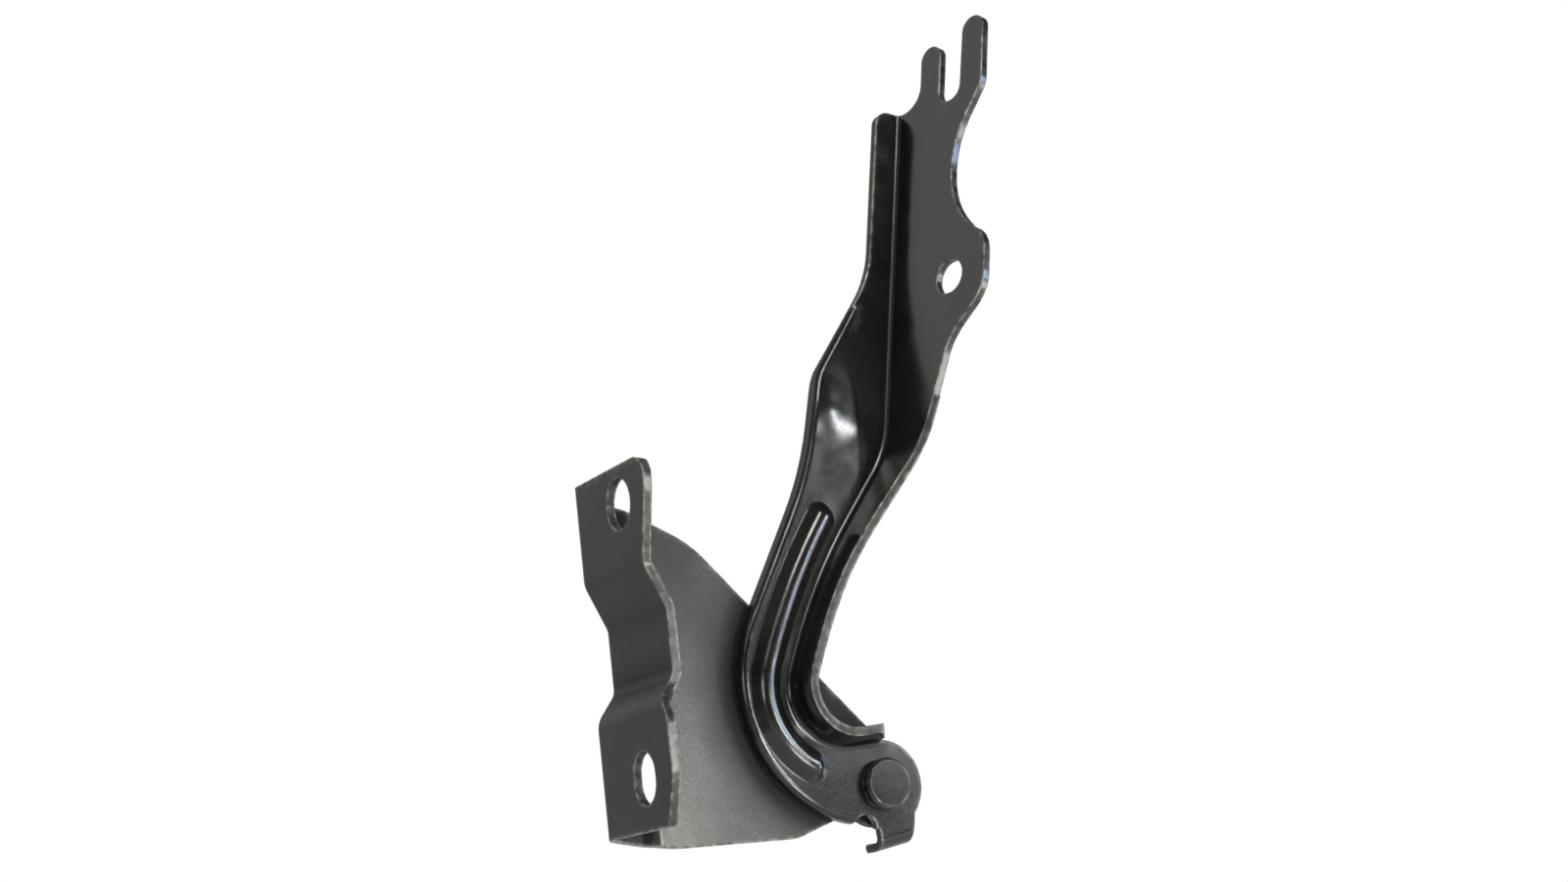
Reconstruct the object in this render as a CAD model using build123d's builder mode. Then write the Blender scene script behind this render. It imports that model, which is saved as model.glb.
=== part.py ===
from build123d import *
import os
from math import asin, cos, radians, sin, sqrt, tan

# Bonnet hinge: a pressed bracket that bolts to the body, a pressed arm that bolts to the
# bonnet, and one shouldered rivet that joins them. Millimetres, X across the bracket,
# Z up, and the pivot axis along Y. The origin is the middle of the upper body hole,
# on the face that lies against the body.

# Sheet metal
bracket_sheet = 3.0
arm_sheet = 3.0
bend_inner = 2.0

# Body flange of the bracket: one land at each end and a joggled land between them
flange_top = 12.5
flange_bottom = -105.0
joggle_depth = 7.0
joggle_top_start = -21.0
joggle_top_end = -36.0
joggle_bottom_start = -58.0
joggle_bottom_end = -67.0
joggle_radius = 7.0
flange_reach_top = 20.5
flange_reach_upper = 18.5
flange_reach_middle = 12.5
flange_reach_lower = 18.2
waist_top_z = -22.0
waist_bottom_z = -62.0
lower_land_top_z = -71.0
lower_land_bottom_z = -90.0
free_edge_radii = [7.0, 12.0, 8.0, 6.0, 8.0, 8.0, 3.0]
upper_hole_diameter = 17.0
lower_slot_width = 15.0
lower_slot_length = 17.0
lower_slot_y = 0.8
lower_slot_z = -88.5

# Web of the bracket: a root beside the flange and a main web, raised towards the arm
root_back = 34.0
web_step = 3.0
step_run = 4.0
step_radius = 4.0
step_x = 15.0
step_bulge = 7.0
shoulder_x = 40.0
shoulder_z = -7.5
shoulder_radius = 40.0
web_foot_z = -109.5
foot_start_x = 22.0
foot_end_x = 70.0
foot_rise = 18.4
foot_radius = 8.0
foot_blend_radius = 60.0
pivot_x = 103.0
pivot_z = -94.0
bracket_eye_radius = 14.0
access_hole_diameter = 18.0
access_hole_x = 16.0
access_hole_z = -86.0

# Pivot
rivet_head_diameter = 17.7
rivet_head_height = 4.1
rivet_head_chamfer = 0.9
rivet_shoulder_diameter = 11.0
rivet_tenon_diameter = 9.0
rivet_back_head_diameter = 14.0
rivet_back_head_height = 2.6
bush_wall = 1.0
bush_flange_diameter = 20.0
thrust_washer_diameter = 22.0
thrust_washer_thickness = 1.5
running_clearance = 0.04
end_float = 0.1

# Arm, drawn on its own axes: across (x) and along the bonnet flange (y), pivot at 0, 0
arm_tilt = 11.0
arm_eye_radius = 15.4
bend_x = -5.0
kink_radius = 40.0
kink_turn = 27.0
ease_radius = 220.0
ease_turn = 16.0
throat_x = -19.9
throat_rise = 14.7
throat_radius = 19.5
throat_turn = 117.0
lip_run = 12.8
lip_height = 11.0
lip_top_y = 70.0
lip_end_inset = 1.5
lip_end_cut = 8.0
flange_lean = 11.0
web_top_y = 252.5
web_top_radius = 5.5
outer_corners = [(-15.0, 185.7), (-34.9, 142.6), (-37.0, 107.0)]
outer_radii = [45.0, 25.0, 130.0, 49.0]
foot_corner_x = -77.9
foot_inset = 0.9
foot_fall = 1.4
outer_rim_depth = 4.8
outer_rim_width = 3.0
outer_rim_round = 2.4
outer_rim_start_share = 0.32
outer_rim_run_in = 25.0

# Bonnet flange, measured from the bend (s) and along it (y)
bonnet_hole_diameter = 13.0
bonnet_hole_s = 30.0
bonnet_hole_y = 179.5
fork_tip_left_y = 275.7
fork_tip_right_y = 280.8
fork_left_s = 11.3
fork_right_s = 43.2
fork_left_radii = [9.0, 4.9, 4.9]
fork_right_radii = [5.0, 5.0, 10.0]
fork_slot_width = 10.8
fork_slot_s = 26.7
fork_slot_foot_y = 250.1
fork_flare = 0.7
scallop_corners = [(29.2, 233.0), (29.5, 205.0)]
scallop_radii = [35.0, 30.0]
lobe_reach = 47.3
lobe_top_fall = 0.7584
lobe_bottom_y = 170.5
lobe_radii = [12.0, 15.0]
taper_top = (30.5, 156.0)
taper_foot = (16.5, 113.0)
taper_split_y = 136.0
taper_radii = [25.0, 60.0, 150.0]

# Bead along the neck
bead_offset = 9.6
bead_width = 11.5
bead_crest = 4.0
bead_crest_radius = 4.0
bead_height = 4.0
bead_turn = 83.0
bead_start_share = 0.11

# Stop tab
tab_turn = 21.0
tab_left_turn = 15.0
tab_left_x = -3.2
tab_right_x = 13.1
tab_hang = 4.6
tab_reach = 11.2
tab_end_round = 1.3
tab_bend_radius = 1.5
tab_notch_radius = 4.4
tab_notch_x = -6.3

web_front = root_back - bracket_sheet - web_step
web_back = web_front + bracket_sheet
root_front = root_back - bracket_sheet
arm_back = web_front - thrust_washer_thickness - bush_wall
arm_front = arm_back - arm_sheet
bush_bore_diameter = rivet_shoulder_diameter + 2 * running_clearance
bush_outer_diameter = bush_bore_diameter + 2 * bush_wall

pivot_face = Plane(
    origin=(pivot_x, arm_front, pivot_z),
    x_dir=(cos(radians(arm_tilt)), 0, -sin(radians(arm_tilt))),
    z_dir=(0, -1, 0),
)
flange_face = Plane(
    origin=pivot_face.from_local_coords((bend_x, 0, 0)),
    x_dir=pivot_face.x_dir * sin(radians(flange_lean)) + pivot_face.z_dir * cos(radians(flange_lean)),
    z_dir=pivot_face.z_dir * sin(radians(flange_lean)) - pivot_face.x_dir * cos(radians(flange_lean)),
)
side_of_arm = Plane(origin=pivot_face.origin, x_dir=pivot_face.y_dir, z_dir=pivot_face.x_dir)
pivot_axis = Axis((pivot_x, 0, pivot_z), (0, 1, 0))


def across(depth):
    """The plane parallel to the webs at this depth behind the origin, seen from the rivet head."""
    return Plane.XZ.offset(-depth)


def section_plane(run, at=0):
    """Plane across a run, x to the left of its heading and y towards the rivet head."""
    heading = run % at
    return Plane(origin=run @ at, x_dir=pivot_face.z_dir.cross(heading), z_dir=heading)


# Body bracket
sheet_middle = bracket_sheet / 2
margin = 15.0


def bowed_points(x, bow, overrun):
    """Corners of an upright line at x that bows out beside the joggled land."""
    return [
        (x, flange_top + overrun),
        (x, joggle_top_start),
        (x + bow, joggle_top_end),
        (x + bow, joggle_bottom_start),
        (x, joggle_bottom_end),
        (x, web_foot_z - overrun),
    ]


eye_corner = bracket_eye_radius * sin(radians(45))
step_reach = step_run
step_edge = 0.9 * step_reach
far_x = pivot_x + bracket_eye_radius + margin

with BuildPart() as body_bracket:
    # The step of the web follows the flange's joggle
    with BuildLine(across(root_back)) as step_line:
        FilletPolyline(*bowed_points(step_x, step_bulge, margin), radius=joggle_radius)
    with BuildSketch(Plane(origin=step_line.line @ 0, x_dir=(1, 0, 0), z_dir=(0, 0, -1))):
        with BuildLine() as step_section:
            FilletPolyline(
                (-step_reach, sheet_middle),
                (-step_run / 2, sheet_middle),
                (step_run / 2, sheet_middle + web_step),
                (step_reach, sheet_middle + web_step),
                radius=step_radius / 2 + sheet_middle,
            )
        trace(step_section.line, line_width=bracket_sheet)
    sweep(path=step_line.line)

    # Flats on both sides of the step: the root, then the main web, raised towards the arm
    with BuildSketch(across(root_back)):
        with BuildLine():
            flange_side = FilletPolyline(*bowed_points(sheet_middle, joggle_depth, margin), radius=joggle_radius)
            step_side = FilletPolyline(*bowed_points(step_x - step_edge, step_bulge, margin), radius=joggle_radius)
            Line(flange_side @ 0, step_side @ 0)
            Line(flange_side @ 1, step_side @ 1)
        make_face()
    extrude(amount=bracket_sheet)
    with BuildSketch(across(web_back)):
        with BuildLine():
            step_side = FilletPolyline(*bowed_points(step_x + step_edge, step_bulge, margin), radius=joggle_radius)
            Polyline(step_side @ 0, (far_x, flange_top + margin), (far_x, web_foot_z - margin), step_side @ 1)
        make_face()
    extrude(amount=bracket_sheet)

    # Body flange, as long as the web until both are trimmed, and its bend
    with BuildSketch(across(root_back)):
        with BuildLine() as flange_middle:
            FilletPolyline(*bowed_points(sheet_middle, joggle_depth, margin), radius=joggle_radius)
        trace(flange_middle.line, line_width=bracket_sheet)
    extrude(amount=root_back + flange_reach_top + margin)
    bend_edges = body_bracket.edges().filter_by_position(
        Axis.X, -0.1, joggle_depth + bracket_sheet + 0.1
    ).filter_by_position(Axis.Z, web_foot_z - margin + 1, flange_top + margin - 1)
    fillet(bend_edges.filter_by_position(Axis.Y, root_front - 0.01, root_front + 0.01), bend_inner)
    fillet(bend_edges.filter_by_position(Axis.Y, root_back - 0.01, root_back + 0.01), bend_inner + bracket_sheet)

    # Side view: the free edge of the flange
    with BuildSketch(Plane.YZ.offset(-margin)):
        with BuildLine():
            free_edge = FilletPolyline(
                (root_back + margin, flange_top),
                (-flange_reach_top, flange_top),
                (-flange_reach_upper, 0),
                (-flange_reach_middle, waist_top_z),
                (-flange_reach_middle, waist_bottom_z),
                (-flange_reach_lower, lower_land_top_z),
                (-flange_reach_lower, lower_land_bottom_z),
                (-flange_reach_middle, flange_bottom),
                (root_front - 2 * bend_inner, flange_bottom),
                radius=free_edge_radii,
            )
            Polyline(
                free_edge @ 1,
                (root_front - 2 * bend_inner, web_foot_z - margin),
                (root_back + margin, web_foot_z - margin),
                free_edge @ 0,
            )
        make_face()
    extrude(amount=far_x + 2 * margin, mode=Mode.INTERSECT)

    # Front view: shoulder, eye and foot of the web
    with BuildSketch(across(root_back + margin)):
        with BuildLine():
            shoulder = FilletPolyline(
                (0, flange_top),
                (shoulder_x, shoulder_z),
                (pivot_x + eye_corner, pivot_z + eye_corner),
                radius=shoulder_radius,
            )
            foot = FilletPolyline(
                (0, flange_bottom),
                (foot_start_x, web_foot_z),
                (foot_end_x, web_foot_z),
                (pivot_x, web_foot_z + (pivot_x - foot_end_x) * tan(radians(foot_rise))),
                radius=(foot_blend_radius, foot_radius),
            )
            Line(shoulder @ 1, foot @ 1)
            Polyline(shoulder @ 0, (-margin, flange_top), (-margin, flange_bottom), foot @ 0)
        make_face()
        with Locations((pivot_x, pivot_z)):
            Circle(bracket_eye_radius)
    extrude(amount=root_back + flange_reach_top + 3 * margin, mode=Mode.INTERSECT)

    # Holes: two in the flange, the access opening behind the lower one, and the rivet's
    with BuildSketch(Plane.YZ.offset(-margin)):
        Circle(upper_hole_diameter / 2)
        with Locations((lower_slot_y, lower_slot_z)):
            SlotOverall(lower_slot_length, lower_slot_width, rotation=90)
    extrude(amount=2 * margin, mode=Mode.SUBTRACT)
    with BuildSketch(across(root_back)):
        with Locations((access_hole_x, access_hole_z)):
            Circle(access_hole_diameter / 2)
        with Locations((pivot_x, pivot_z)):
            Circle(rivet_tenon_diameter / 2)
    extrude(amount=web_step + bracket_sheet, mode=Mode.SUBTRACT)

body_bracket.part.label = "body_bracket"

# Bonnet arm


def along_bend(shift, top):
    """Draw the arm's bend from top down, moved by shift to the web's side, and return its end."""
    upright = Line((bend_x - shift, top), (bend_x - shift, kink_y))
    kink = JernArc(upright @ 1, upright % 1, kink_radius - shift, -kink_turn)
    slant = Line(kink @ 1, kink @ 1 + kink % 1 * slant_length)
    ease = JernArc(slant @ 1, slant % 1, ease_radius + shift, ease_turn)
    throat = JernArc(ease @ 1, ease % 1, throat_radius + shift, throat_turn)
    end = Line(throat @ 1, throat @ 1 + throat % 1 * lip_run)
    return end @ 1


def slant_foot(shift):
    """Foot of the slanted run, moved by shift to the web's side of the bend."""
    reach = kink_radius - shift
    return (
        bend_x - kink_radius + reach * cos(slant_turn) - slant_length * sin(slant_turn),
        kink_y - reach * sin(slant_turn) - slant_length * cos(slant_turn),
    )


def half_bead(inset):
    """Draw half of the bead's section, inset from its outer skin."""
    slope = (bead_width - bead_crest) / 2 / bead_height
    top = bead_height - inset
    base = -arm_middle - inset
    skin = bead_width / 2 - inset * sqrt(1 + slope**2)
    FilletPolyline(
        (skin - slope * base, base), (skin - slope * top, top), (0, top), radius=bead_crest_radius - inset
    )
    Polyline((0, top), (0, base), (skin - slope * base, base))


arm_middle = arm_sheet / 2
slant_turn = radians(kink_turn)
neck_turn = radians(kink_turn - ease_turn)
throat_y = arm_eye_radius + throat_rise
slant_heading = (-sin(slant_turn), -cos(slant_turn))
eased_x = throat_x - throat_radius * cos(neck_turn) + ease_radius * (cos(neck_turn) - cos(slant_turn))
eased_y = throat_y + throat_radius * sin(neck_turn) + ease_radius * (sin(slant_turn) - sin(neck_turn))
slant_length = (bend_x - kink_radius * (1 - cos(slant_turn)) - eased_x) / sin(slant_turn)
kink_y = eased_y + slant_length * cos(slant_turn) + kink_radius * sin(slant_turn)
tab_across = pivot_face.x_dir * cos(radians(tab_turn)) + pivot_face.y_dir * sin(radians(tab_turn))
tab_side = Plane(origin=pivot_face.origin, x_dir=(0, 1, 0), z_dir=tab_across)
arm_foot = (0, foot_inset - arm_eye_radius)
outer_path = [*outer_corners, (foot_corner_x, arm_foot[1] - foot_fall)]
notch_share = (tab_notch_x - foot_corner_x) / (arm_foot[0] - foot_corner_x)
rim_end = tuple(a + (b - a) * notch_share for a, b in zip(outer_path[-1], arm_foot))
rim_start = tuple(a + (b - a) * outer_rim_start_share for a, b in zip(*outer_corners[:2]))
lean = radians(flange_lean)
tab_drop = arm_eye_radius + tab_hang
tab_root_y = -bush_outer_diameter / 2
tab_length = tab_drop + arm_sheet
taper_slope = (taper_top[0] - taper_foot[0]) / (taper_top[1] - taper_foot[1])
taper_split_s = taper_foot[0] + taper_slope * (taper_split_y - taper_foot[1])
bend_middle_x = arm_middle * tan(radians((90 - flange_lean) / 2))
wall_length = lobe_reach + margin
web_strip = 2 * bend_inner
blank_top_y = fork_tip_right_y + margin
lobe_top_y = scallop_corners[1][1] - lobe_top_fall * (lobe_reach - scallop_corners[1][0])

with BuildPart() as bonnet_arm:
    # The bend, with a strip of the web on one side and the wall on the other
    with BuildLine(pivot_face) as bend_line:
        along_bend(0, blank_top_y)
    with BuildSketch(section_plane(bend_line.line)):
        with BuildLine() as wall_middle:
            FilletPolyline(
                (-web_strip, -arm_middle),
                (bend_middle_x, -arm_middle),
                (
                    bend_middle_x + wall_length * sin(radians(flange_lean)),
                    wall_length * cos(radians(flange_lean)) - arm_middle,
                ),
                radius=bend_inner + arm_middle,
            )
        trace(wall_middle.line, line_width=arm_sheet)
    sweep(path=bend_line.line)

    # The wall is a low lip along the throat, which grows into the bonnet flange
    with BuildSketch(side_of_arm):
        with BuildLine():
            lip_edge = FilletPolyline(
                (-2 * arm_eye_radius, lip_height),
                (lip_top_y, lip_height),
                (taper_foot[1], taper_foot[0] * cos(lean)),
                (taper_split_y, taper_split_s * cos(lean)),
                radius=(taper_radii[2], taper_radii[1]),
            )
            Polyline(
                lip_edge @ 1,
                (taper_split_y, 2 * wall_length),
                (-2 * arm_eye_radius, 2 * wall_length),
                lip_edge @ 0,
            )
        make_face()
    extrude(amount=2 * wall_length, both=True, mode=Mode.SUBTRACT)
    with BuildSketch(flange_face.offset(wall_length)):
        with BuildLine():
            rim = FilletPolyline(
                (-wall_length, web_top_y),
                (fork_left_s, web_top_y),
                (fork_left_s, fork_tip_left_y),
                (fork_slot_s - fork_slot_width / 2, fork_tip_left_y),
                (fork_slot_s - fork_slot_width / 2, fork_slot_foot_y),
                (fork_slot_s + fork_slot_width / 2, fork_slot_foot_y),
                (fork_slot_s + fork_slot_width / 2 + fork_flare, fork_tip_right_y),
                (fork_right_s, fork_tip_right_y),
                (fork_right_s, web_top_y),
                *scallop_corners,
                (lobe_reach, lobe_top_y),
                (lobe_reach, lobe_bottom_y),
                taper_top,
                (taper_split_s, taper_split_y),
                radius=(
                    *fork_left_radii,
                    0.49 * fork_slot_width,
                    0.49 * fork_slot_width,
                    *fork_right_radii,
                    *scallop_radii,
                    *lobe_radii,
                    taper_radii[0],
                ),
            )
            Polyline(
                rim @ 1,
                (2 * wall_length, taper_split_y),
                (2 * wall_length, blank_top_y + margin),
                (-wall_length, blank_top_y + margin),
                rim @ 0,
            )
        make_face()
    extrude(amount=-2 * wall_length, mode=Mode.SUBTRACT)

    # The end of the lip is cut back towards its free edge
    with BuildSketch(Plane(origin=pivot_face.origin, x_dir=pivot_face.x_dir, z_dir=-pivot_face.y_dir)):
        with BuildLine():
            Polyline(
                (-lip_end_inset, bend_inner),
                (-lip_end_cut, lip_height),
                (-lip_end_cut, lip_height + margin),
                (arm_eye_radius, lip_height + margin),
                (arm_eye_radius, bend_inner),
                close=True,
            )
        make_face()
    extrude(amount=-2 * arm_eye_radius, mode=Mode.SUBTRACT)

    # Web, from the top corner down the outer edge and round the eye
    with BuildSketch(pivot_face) as web:
        with BuildLine():
            outer_edge = FilletPolyline(
                (bend_x - web_strip / 2, web_top_y),
                (outer_corners[0][0], web_top_y),
                *outer_path,
                arm_foot,
                radius=(web_top_radius, *outer_radii),
            )
            eye_end = along_bend(web_strip / 2, web_top_y)
            Polyline(outer_edge @ 1, (0, 0), eye_end)
        make_face()
        Circle(arm_eye_radius)
    extrude(amount=-arm_sheet)

    # Outer rim: the sheet turned back along the neck, with a round front corner
    with BuildLine(pivot_face) as rim_line:
        FilletPolyline(rim_start, *outer_path[1:], rim_end, radius=outer_radii[1:])
    with BuildSketch(pivot_face):
        with BuildLine():
            rim_edge = FilletPolyline(rim_start, *outer_path[1:], rim_end, radius=outer_radii[1:])
        trace(rim_edge, line_width=2 * outer_rim_width)
        add(web.sketch_local, mode=Mode.INTERSECT)
    extrude(amount=-outer_rim_depth)
    with BuildSketch(side_of_arm):
        with BuildLine():
            Polyline(
                (rim_start[1], -arm_sheet),
                (rim_start[1] - outer_rim_run_in, -outer_rim_depth),
                (rim_start[1] - outer_rim_run_in, -outer_rim_depth - margin),
                (rim_start[1] + margin, -outer_rim_depth - margin),
                (rim_start[1] + margin, -arm_sheet),
                close=True,
            )
        make_face()
    extrude(amount=2 * wall_length, both=True, mode=Mode.SUBTRACT)
    with BuildSketch(section_plane(rim_line.line)):
        with BuildLine():
            corner = CenterArc((outer_rim_round, -outer_rim_round), outer_rim_round, 90, 90)
            Polyline(corner @ 0, (0.5 * outer_rim_round, 1), (-1, 1), (-1, -0.5 * outer_rim_round), corner @ 1)
        make_face()
    sweep(path=rim_line.line, mode=Mode.SUBTRACT)

    # Bead along the neck, pressed out of the web and hollow behind, with round ends
    with BuildLine(pivot_face) as bead_line:
        eased_run = JernArc(
            slant_foot(bead_offset), slant_heading, ease_radius + bead_offset, ease_turn, mode=Mode.PRIVATE
        )
        bead_ease = add(eased_run.trim(bead_start_share, 1)).edge()
        JernArc(bead_ease @ 1, bead_ease % 1, throat_radius + bead_offset, bead_turn)
    for inset, mode in ((0, Mode.ADD), (arm_sheet, Mode.SUBTRACT)):
        with BuildSketch(section_plane(bead_line.line)):
            with BuildLine():
                half_bead(inset)
            make_face()
            mirror(about=Plane.YZ)
        sweep(path=bead_line.line, mode=mode)
        for at in (0, 1):
            with BuildSketch(section_plane(bead_line.line, at)):
                with BuildLine():
                    half_bead(inset)
                make_face()
            revolve(axis=Axis(bead_line.line @ at, pivot_face.z_dir), mode=mode)

    # Relief notch beside the stop tab
    with BuildSketch(pivot_face):
        with Locations((rim_end[0], rim_end[1] - tab_notch_radius / 4)):
            Circle(tab_notch_radius)
    extrude(amount=-outer_rim_depth, mode=Mode.SUBTRACT)

    # Stop tab: it drops from the eye, narrows a little and turns back under the bracket's web
    with BuildSketch(tab_side, mode=Mode.PRIVATE) as tab_section:
        with BuildLine() as tab_middle:
            FilletPolyline(
                (arm_middle, 0),
                (arm_middle, -tab_drop),
                (tab_reach, -tab_drop),
                radius=tab_bend_radius + arm_middle,
            )
        trace(tab_middle.line, line_width=arm_sheet)
        fillet(tab_section.vertices().group_by(Axis.X)[-1], tab_end_round)
    with BuildSketch(pivot_face, mode=Mode.PRIVATE) as tab_front:
        with BuildLine():
            Polyline(
                (tab_left_x, tab_root_y),
                (tab_left_x + tab_length * tan(radians(tab_left_turn)), tab_root_y - tab_length),
                (tab_right_x, tab_root_y - tab_length),
                (tab_right_x, tab_root_y),
                close=True,
            )
        make_face()
    tab = extrude(tab_section.sketch, amount=arm_eye_radius, both=True, mode=Mode.PRIVATE)
    add(tab & extrude(tab_front.sketch, amount=-2 * tab_reach, mode=Mode.PRIVATE))

    # Holes: the bush's, and the round one of the bonnet flange
    with BuildSketch(pivot_face):
        Circle(bush_outer_diameter / 2)
    extrude(amount=arm_sheet, both=True, mode=Mode.SUBTRACT)
    with BuildSketch(flange_face):
        with Locations((bonnet_hole_s, bonnet_hole_y)):
            Circle(bonnet_hole_diameter / 2)
    extrude(amount=2 * arm_sheet, both=True, mode=Mode.SUBTRACT)
bonnet_arm.part.label = "bonnet_arm"

# Pivot: a shouldered rivet, riveted over behind the bracket's web
pivot_side = Plane(origin=(pivot_x, 0, pivot_z))
head_back = arm_front - end_float

with BuildPart() as pivot_rivet:
    with BuildSketch(pivot_side) as rivet_section:
        with BuildLine():
            Polyline(
                (0, head_back - rivet_head_height),
                (rivet_head_diameter / 2, head_back - rivet_head_height),
                (rivet_head_diameter / 2, head_back),
                (rivet_shoulder_diameter / 2, head_back),
                (rivet_shoulder_diameter / 2, web_front),
                (rivet_tenon_diameter / 2, web_front),
                (rivet_tenon_diameter / 2, web_back),
                (rivet_back_head_diameter / 2, web_back),
                (rivet_back_head_diameter / 2, web_back + rivet_back_head_height),
                (0, web_back + rivet_back_head_height),
                close=True,
            )
        make_face()
        rims = rivet_section.vertices().group_by(Axis.X)[-1]
        chamfer(rims.sort_by(Axis.Y)[0], rivet_head_chamfer)
        back_rim = rivet_section.vertices().group_by(Axis.Y)[-1].sort_by(Axis.X)[-1]
        chamfer(back_rim, rivet_back_head_height / 2)
    revolve(axis=pivot_axis)
pivot_rivet.part.label = "pivot_rivet"

with BuildPart() as pivot_bush:
    with BuildSketch(pivot_side):
        with BuildLine():
            Polyline(
                (bush_bore_diameter / 2, arm_front),
                (bush_outer_diameter / 2, arm_front),
                (bush_outer_diameter / 2, arm_back),
                (bush_flange_diameter / 2, arm_back),
                (bush_flange_diameter / 2, arm_back + bush_wall),
                (bush_bore_diameter / 2, arm_back + bush_wall),
                close=True,
            )
        make_face()
    revolve(axis=pivot_axis)
pivot_bush.part.label = "pivot_bush"

with BuildPart() as thrust_washer:
    with BuildSketch(across(web_front).shift_origin((pivot_x, web_front, pivot_z))):
        Circle(thrust_washer_diameter / 2)
        Circle(bush_bore_diameter / 2, mode=Mode.SUBTRACT)
    extrude(amount=thrust_washer_thickness)
thrust_washer.part.label = "thrust_washer"

os.makedirs("parts", exist_ok=True)
for piece in (body_bracket, bonnet_arm, pivot_rivet, pivot_bush, thrust_washer):
    export_step(piece.part, f"parts/{piece.part.label}.step")
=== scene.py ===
from math import radians

import bpy
from mathutils import Matrix, Vector


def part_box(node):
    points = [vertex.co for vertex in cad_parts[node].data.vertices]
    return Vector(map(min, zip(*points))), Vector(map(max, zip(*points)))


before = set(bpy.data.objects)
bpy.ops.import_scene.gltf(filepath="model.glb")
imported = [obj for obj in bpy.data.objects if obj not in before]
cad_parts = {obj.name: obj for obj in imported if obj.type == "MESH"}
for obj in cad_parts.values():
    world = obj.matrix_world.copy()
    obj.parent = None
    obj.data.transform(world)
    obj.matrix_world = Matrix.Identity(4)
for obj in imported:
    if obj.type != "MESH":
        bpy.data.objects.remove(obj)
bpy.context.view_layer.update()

# Body bracket: the half that bolts to the vehicle body. It is blanked from 3 mm steel, pressed
# to its joggled flange and dipped in black electrocoat, which is thin on the cut edges.
coat_black = (0.0030, 0.0031, 0.0030, 1)
# The pale colour of the thinly coated cut edges, which also paints a highlight along their corners.
thin_coat_and_glint = (0.42, 0.405, 0.355, 1)
bracket_dark = (0.008, 0.009, 0.0082, 1)
bracket_light = (0.020, 0.022, 0.0195, 1)
coat_ior = 1.5
clear_layer = 0.12
clear_roughness = 0.08
# The finish's lengths are in metres. The edge mask looks into the sheet by a little less than
# its thickness, so it answers only near a cut edge, and the gap mask, which paints shade
# beside another piece, looks outwards.
edge_depth = 0.0027
gap_reach = 0.018
swelling_height = 0.001
relief_height = 0.0001
relief_strength = 0.16
# The flat of a cut edge gets the first share of the wear and painted highlight that its corners
# get, and a fully worn spot is bare metal to the second.
cut_face_share = 0.14
bare_share = 0.7
# What full wear, a cloud in the coat and a close neighbour each add to the roughness.
worn_roughness = 0.08
cloud_roughness = 0.05
gap_roughness = 0.65


class Flow:
    """A socket in a finish's nodes. Sums on it become Math nodes."""

    def __init__(self, tree, socket=None):
        self.tree, self.socket = tree, socket

    def add(self, kind, settings=None, values=None, out=0):
        """A new node: its settings first, then the values or links of its sockets."""
        node = self.tree.nodes.new(kind)
        for name, setting in (settings or {}).items():
            setattr(node, name, setting)
        for name, value in (values or {}).items():
            if isinstance(value, Flow):
                self.tree.links.new(value.socket, node.inputs[name])
            else:
                node.inputs[name].default_value = value
        return Flow(self.tree, node.outputs[out] if node.outputs else None)

    def sum(self, operation, first, second):
        return self.add("ShaderNodeMath", {"operation": operation}, {0: first, 1: second})

    def __add__(self, other):
        return self.sum("ADD", self, other)

    def __mul__(self, other):
        return self.sum("MULTIPLY", self, other)

    def __sub__(self, other):
        return self.sum("SUBTRACT", self, other)

    def __rsub__(self, other):
        return self.sum("SUBTRACT", other, self)

    __radd__ = __add__
    __rmul__ = __mul__

    def spread(self, low, high, from_value=0.0, to_value=1.0):
        """This flow's part between low and high, brought to other limits and clamped there."""
        limits = {"From Min": low, "From Max": high, "To Min": from_value, "To Max": to_value}
        settings = {"clamp": True, "interpolation_type": "SMOOTHSTEP"}
        return self.add("ShaderNodeMapRange", settings, {"Value": self, **limits})

    def blend(self, first, second):
        """A colour between two others, by this flow."""
        colours = {"Factor": self, "A": first, "B": second}
        return self.add("ShaderNodeMix", {"data_type": "RGBA"}, colours, out="Result")


def start_finish(name):
    """A new material, and a flow that adds nodes to it."""
    material = bpy.data.materials.new(name)
    material.use_nodes = True
    material.node_tree.nodes.clear()
    return material, Flow(material.node_tree)


def marks(flow, place, per_metre, detail):
    """Uneven marks all over a surface, about so many to the metre."""
    return flow.add("ShaderNodeTexNoise", values={"Vector": place, "Scale": per_metre, "Detail": detail})


def measure(flow, operation, first, second):
    """A number from two vectors, such as the distance between them."""
    return flow.add("ShaderNodeVectorMath", {"operation": operation}, {0: first, 1: second}, out="Value")


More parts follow.
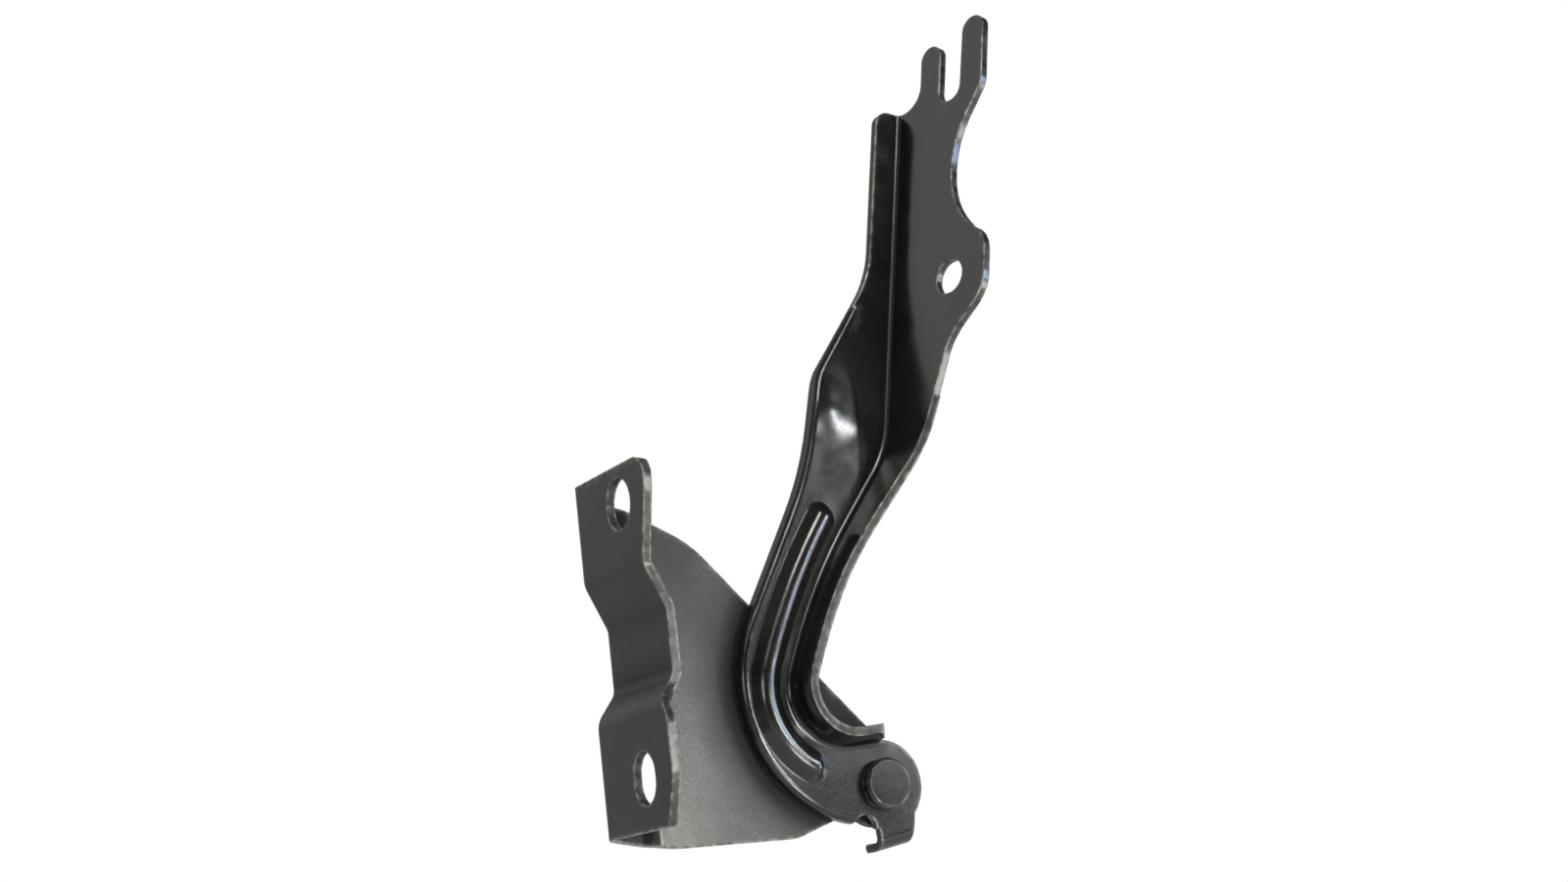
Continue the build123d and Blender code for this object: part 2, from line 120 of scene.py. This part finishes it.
def black_coat(
    name,
    dark,
    light,
    grain,
    gloss,
    edge_wear_and_glint=0.95,
    rim=(0.84, 0.56),
    edge_round=0.0011,
    waves=0.1,
    bulge=None,
    gap_shade_and_dulling=0.0,
):
    """Electrocoat over pressed steel: fine grain, a soft orange peel, and thin, worn cut edges
    with a painted highlight on their corners, and optionally painted shade near another piece.

    edge_wear_and_glint says how bare the cut edges are and how bright their painted highlight
    is, rim the edge mask's values where wear and highlight begin and are full, and edge_round
    the radius that the edges are rounded to. waves says how uneven the sheet is, bulge where it
    swells, and gap_shade_and_dulling how much darker, as painted shade, and duller the coat is
    near another piece.
    """
    material, flow = start_finish(name)
    place = flow.add("ShaderNodeTexCoord", out="Object")
    speckle = marks(flow, place, per_metre=1500, detail=4)
    peel = marks(flow, place, per_metre=620, detail=1.5)
    shear = marks(flow, place, per_metre=330, detail=3)
    swell = marks(flow, place, per_metre=60, detail=1)
    cloud = marks(flow, place, per_metre=38, detail=4)

    # Wear and a painted highlight lie near the cut edges, most on their corners, where the rounded normal
    # turns away.
    inside = {"samples": 10, "inside": True}
    core = flow.add("ShaderNodeAmbientOcclusion", inside, {"Distance": edge_depth}, out="AO")
    rounded = flow.add("ShaderNodeBevel", {"samples": 6}, {"Radius": edge_round})
    facing = flow.add("ShaderNodeNewGeometry", out="Normal")
    turned = measure(flow, "DOT_PRODUCT", facing, rounded)
    corner = turned.spread(0.995, 0.92)
    edge = core.spread(*rim) * (corner * (1 - cut_face_share) + cut_face_share)
    wear_and_glint = edge * shear.spread(0.38, 0.62, 0.18, 1.0) * edge_wear_and_glint

    # Near another piece the coat is painted darker, as shade, and made rougher.
    around = flow.add("ShaderNodeAmbientOcclusion", {"samples": 16}, {"Distance": gap_reach}, out="AO")
    shade_and_dulling = around.spread(0.995, 0.90) * gap_shade_and_dulling

    tone = (cloud.spread(0.3, 0.7) * 0.5 + speckle.spread(0.35, 0.65) * 0.5).blend(dark, light)
    # Painted shade near another piece, then the pale edges with their painted highlight.
    colour = wear_and_glint.blend(shade_and_dulling.blend(tone, coat_black), thin_coat_and_glint)
    roughness = gloss + grain * speckle.spread(0.3, 0.7) + wear_and_glint * worn_roughness
    roughness = roughness + cloud.spread(0.35, 0.65) * cloud_roughness + shade_and_dulling * gap_roughness

    swelling = swell * waves
    if bulge:
        middle, reach, rise, unevenness = bulge
        apart = measure(flow, "DISTANCE", place, middle)
        swelling = swelling + apart.spread(0.0, reach, 1.0, 0.0) * (rise + swell * unevenness)
    pressed = flow.add(
        "ShaderNodeBump",
        values={"Strength": 1.0, "Distance": swelling_height, "Height": swelling, "Normal": rounded},
    )
    relief = speckle * (grain * 4) + peel * 0.5 + shear * wear_and_glint * 6
    normal = flow.add(
        "ShaderNodeBump",
        values={"Strength": relief_strength, "Distance": relief_height, "Height": relief, "Normal": pressed},
    )
    surface = flow.add(
        "ShaderNodeBsdfPrincipled",
        values={
            "Base Color": colour,
            "Roughness": roughness,
            "Metallic": wear_and_glint * bare_share,
            "IOR": coat_ior,
            "Normal": normal,
            "Coat Weight": clear_layer - wear_and_glint * clear_layer,
            "Coat Roughness": clear_roughness,
            "Coat IOR": coat_ior,
        },
    )
    flow.add("ShaderNodeOutputMaterial", values={"Surface": surface})
    return material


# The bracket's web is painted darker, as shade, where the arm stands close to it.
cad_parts["body_bracket"].data.materials[0] = black_coat(
    "bracket_coat", bracket_dark, bracket_light, grain=0.10, gloss=0.17, gap_shade_and_dulling=1.0
)

# Bonnet arm: the half that bolts to the bonnet, pressed from one blank of 3 mm steel with its
# bead, lip, turned-back rim and stop tab, and dipped in the same coat, which dried glossier.
# The press left a soft swelling in the web beside the kink.
coat_grey = (0.0085, 0.0088, 0.0084, 1)
kink_middle = (0.0983, 0.0225, 0.0395)
kink_reach = 0.015
kink_rise = 0.9
kink_unevenness = 0.7
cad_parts["bonnet_arm"].data.materials[0] = black_coat(
    "arm_coat",
    coat_black,
    coat_grey,
    grain=0.07,
    gloss=0.11,
    edge_wear_and_glint=0.8,
    waves=0.35,
    bulge=(kink_middle, kink_reach, kink_rise, kink_unevenness),
)

# Pivot bush: a flanged bronze bush, turned, and pressed into the arm's eye. The rivet's
# shoulder turns in it, and its flange bears on the thrust washer.
bush_low, bush_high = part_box("pivot_bush")
pivot_middle = (bush_low + bush_high) / 2
turning_depth = 0.00003
turning_strength = 0.25
tarnish_roughness = 0.25
turning_roughness = 0.06


def bearing_metal(name, colour, dull_colour, gloss):
    """Bare bearing metal: turned marks round the pivot, and tarnish in patches."""
    material, flow = start_finish(name)
    place = flow.add("ShaderNodeTexCoord", out="Object")
    centred = flow.add("ShaderNodeMapping", values={"Vector": place, "Location": -pivot_middle})
    turning = flow.add(
        "ShaderNodeTexWave",
        {"wave_type": "RINGS", "rings_direction": "Y"},
        {"Vector": centred, "Scale": 900, "Distortion": 1.5, "Detail": 2},
        out="Fac",
    )
    cloud = marks(flow, place, per_metre=420, detail=5)
    tarnish = cloud.spread(0.42, 0.68)
    relief = turning + cloud * 0.6
    normal = flow.add(
        "ShaderNodeBump",
        values={"Strength": turning_strength, "Distance": turning_depth, "Height": relief},
    )
    surface = flow.add(
        "ShaderNodeBsdfPrincipled",
        values={
            "Base Color": tarnish.blend(colour, dull_colour),
            "Metallic": 1.0,
            "Roughness": gloss + tarnish * tarnish_roughness + turning * turning_roughness,
            "Normal": normal,
        },
    )
    flow.add("ShaderNodeOutputMaterial", values={"Surface": surface})
    return material


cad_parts["pivot_bush"].data.materials[0] = bearing_metal(
    "bush_bronze", (0.52, 0.36, 0.17, 1), (0.20, 0.13, 0.07, 1), gloss=0.32
)

# Thrust washer: a flat washer of hardened steel between the bush's flange and the bracket's
# web. It is left bare, and lies round the rivet's shoulder.
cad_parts["thrust_washer"].data.materials[0] = bearing_metal(
    "washer_steel", (0.46, 0.46, 0.47, 1), (0.18, 0.17, 0.16, 1), gloss=0.28
)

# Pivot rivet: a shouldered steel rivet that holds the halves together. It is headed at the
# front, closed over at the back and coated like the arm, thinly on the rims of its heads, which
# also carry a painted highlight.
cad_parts["pivot_rivet"].data.materials[0] = black_coat(
    "rivet_coat",
    coat_black,
    coat_grey,
    grain=0.06,
    gloss=0.11,
    edge_wear_and_glint=1.3,
    rim=(0.86, 0.62),
    edge_round=0.0005,
)

# Camera: it has the photograph's place in metres, its turns in degrees, and its lens and
# sensor in millimetres, which were found by laying the solids' outlines on the photograph.
camera_place = (-0.3418, -0.6643, -0.1508)
yaw, pitch, roll = 31.5, 12.5, 6.7
camera_data = bpy.data.cameras.new("camera")
camera_data.sensor_width, camera_data.lens = 36.0, 54.0
camera_data.clip_start, camera_data.clip_end = 0.01, 50.0
camera = bpy.data.objects.new("camera", camera_data)
camera.matrix_world = (
    Matrix.Translation(camera_place)
    @ Matrix.Rotation(radians(-yaw), 4, "Z")
    @ Matrix.Rotation(radians(90 + pitch), 4, "X")
    @ Matrix.Rotation(radians(-roll), 4, "Z")
)
bpy.context.scene.collection.objects.link(camera)
bpy.context.scene.camera = camera
bpy.context.scene.view_settings.view_transform = "Standard"

# Studio floor: a sheet of pale, matt paper, well below the hinge. The photograph's camera
# looks a little upwards and doesn't see it.
floor_z = -0.42
floor_near, floor_far = -2.0, 2.4
floor_corners = [
    (floor_near, floor_near, floor_z),
    (floor_far, floor_near, floor_z),
    (floor_far, floor_far, floor_z),
    (floor_near, floor_far, floor_z),
]
floor_mesh = bpy.data.meshes.new("floor")
floor_mesh.from_pydata(floor_corners, [], [(0, 1, 2, 3)])
floor = bpy.data.objects.new("floor", floor_mesh)
bpy.context.scene.collection.objects.link(floor)
paper_white = (0.8, 0.8, 0.79, 1)
floor_paper, fibres = start_finish("floor_paper")
paper = fibres.add("ShaderNodeBsdfPrincipled", values={"Base Color": paper_white, "Roughness": 0.9})
fibres.add("ShaderNodeOutputMaterial", values={"Surface": paper})
floor_mesh.materials.append(floor_paper)

# Surround: white to the camera, and a soft fill on the hinge from all round. The coat mirrors
# it as white straight behind the hinge, and elsewhere as a dim room that is paler to the left.
backdrop_way = Vector((0.510, 0.832, 0.216))
left_way = Vector((-0.8, 0.6, 0.0))
dim_room, pale_room = 0.06, 0.40
fill_level = 0.38
world = bpy.data.worlds.new("surround")
bpy.context.scene.world = world
world.use_nodes = True
world.node_tree.nodes.clear()
air = Flow(world.node_tree)
seen = air.add("ShaderNodeLightPath", out="Is Camera Ray")
mirrored = air.add("ShaderNodeLightPath", out="Is Glossy Ray")
passed = air.add("ShaderNodeLightPath", out="Is Transmission Ray")
way = air.add("ShaderNodeTexCoord", out="Generated")
behind = measure(air, "DOT_PRODUCT", way, backdrop_way)
leftward = measure(air, "DOT_PRODUCT", way, left_way)
room = leftward.spread(-0.2, 0.8, dim_room, pale_room)
mirror_level = room + behind.spread(0.93, 0.99) * (1 - room)
level = seen + (1 - seen) * (mirrored * mirror_level + passed + (1 - mirrored) * (1 - passed) * fill_level)
sky = air.add("ShaderNodeBackground", values={"Color": (1, 1, 1, 1), "Strength": level})
air.add("ShaderNodeOutputWorld", values={"Surface": sky})

# Lamps: soft boxes round the hinge, each where a face or a bend mirrors light in the photograph.
# They hang at a distance in metres from the hinge's middle, and look at it.
hinge_middle = Vector((0.08, 0.0, 0.03))


def soft_lamp(name, direction, distance, size, watts, colour=(1, 1, 1)):
    """A soft box that looks at the middle of the hinge."""
    data = bpy.data.lights.new(name, "AREA")
    data.shape, data.size, data.size_y = "RECTANGLE", size[0], size[1]
    data.energy, data.color = watts, colour
    lamp = bpy.data.objects.new(name, data)
    away = Vector(direction).normalized()
    lamp.location = hinge_middle + away * distance
    lamp.rotation_euler = away.to_track_quat("Z", "Y").to_euler()
    bpy.context.scene.collection.objects.link(lamp)


# On the bracket's web and the arm's eye, with the web's foot brightest
soft_lamp("low_lamp", (0.53, -0.85, 0.02), 1.3, size=(0.50, 0.48), watts=0.50, colour=(0.97, 1.0, 0.94))
soft_lamp("foot_lamp", (0.33, -0.94, -0.06), 1.3, size=(0.18, 0.18), watts=5.0, colour=(0.97, 1.0, 0.93))
soft_lamp("strip_lamp", (0.655, -0.745, 0.135), 1.25, size=(0.09, 0.29), watts=3.3)
# On the flanks of the bead and the bends that face right, the first of them as blue as a window
soft_lamp("window_lamp", (0.80, -0.60, 0.09), 1.3, size=(0.34, 0.36), watts=4.0, colour=(0.46, 0.66, 1.0))
soft_lamp("side_lamp", (0.82, -0.51, -0.24), 1.3, size=(0.5, 0.36), watts=5.0, colour=(1.0, 1.0, 0.91))
# On the rim and the bends that face left, up and down
soft_lamp("left_lamp", (-0.66, -0.74, 0.07), 1.3, size=(0.14, 0.36), watts=2.4, colour=(1.0, 0.98, 0.88))
soft_lamp("key_lamp", (-0.42, -0.77, 0.49), 1.4, size=(0.42, 0.32), watts=1.0, colour=(1.0, 0.99, 0.92))
soft_lamp("top_lamp", (-0.16, -0.75, 0.66), 1.4, size=(0.36, 0.34), watts=7.5, colour=(1.0, 0.99, 0.92))
soft_lamp("rim_lamp", (0.12, -0.88, -0.46), 0.85, size=(0.20, 0.20), watts=2.6, colour=(1.0, 0.98, 0.90))
# From behind: the bonnet flange mirrors the first at a low angle, and the second lights the back
soft_lamp("back_lamp", (-0.66, 0.54, 0.53), 1.4, size=(0.9, 0.9), watts=1.6)
soft_lamp("rear_lamp", (0.50, 0.80, 0.30), 1.5, size=(0.8, 0.6), watts=7.0)
